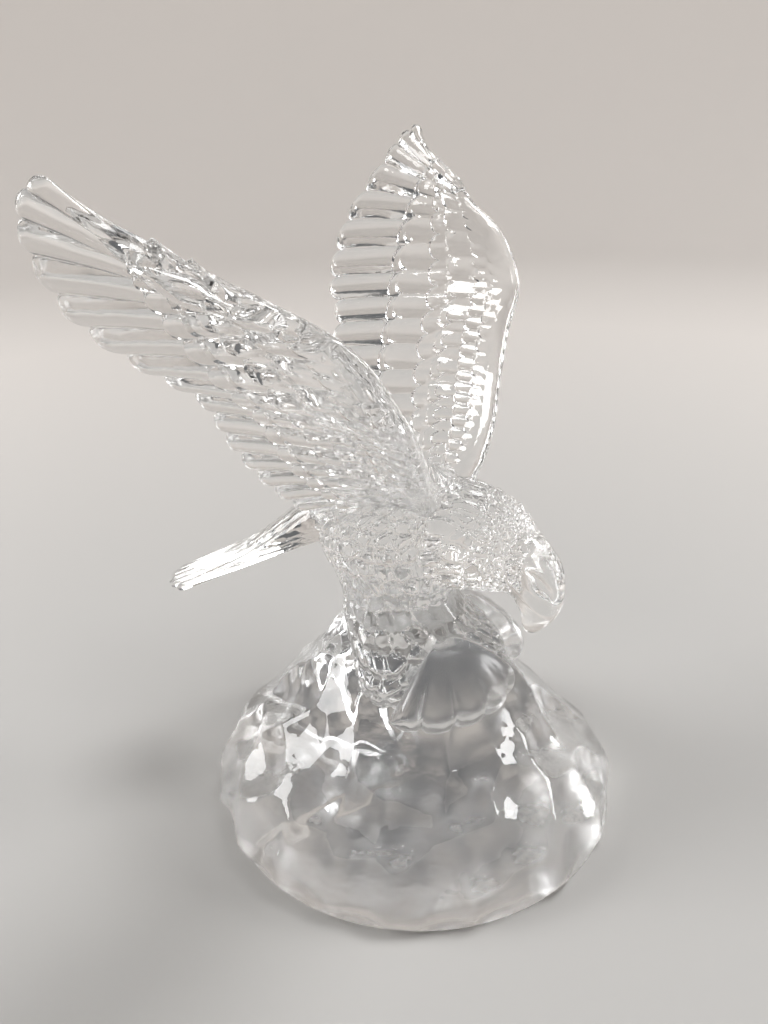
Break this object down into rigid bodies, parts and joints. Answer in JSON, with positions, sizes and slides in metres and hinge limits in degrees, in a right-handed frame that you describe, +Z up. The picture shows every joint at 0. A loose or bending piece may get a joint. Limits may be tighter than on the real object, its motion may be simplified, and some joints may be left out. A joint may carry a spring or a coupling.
{
  "type": "eagle figurine",
  "caption": "Clear glass eagle figurine landing on a rock, wings raised in a V and tail fanned behind, standing on a round flat base.",
  "frame": {"origin": "centre of the base's flat underside, on the surface the figurine stands on", "axes": "+Z up, the eagle faces -Y with its tail towards +Y, its right wing on -X and its left wing on +X"},
  "size_m": [0.1876, 0.1217, 0.1653],
  "materials": {
    "crystal": "clear pressed crystal with a bright polish, a little milky in the base and satin on the underside"
  },
  "bodies": {
    "root": {"eagle_figurine": "crystal"}
  },
  "joints": []
}
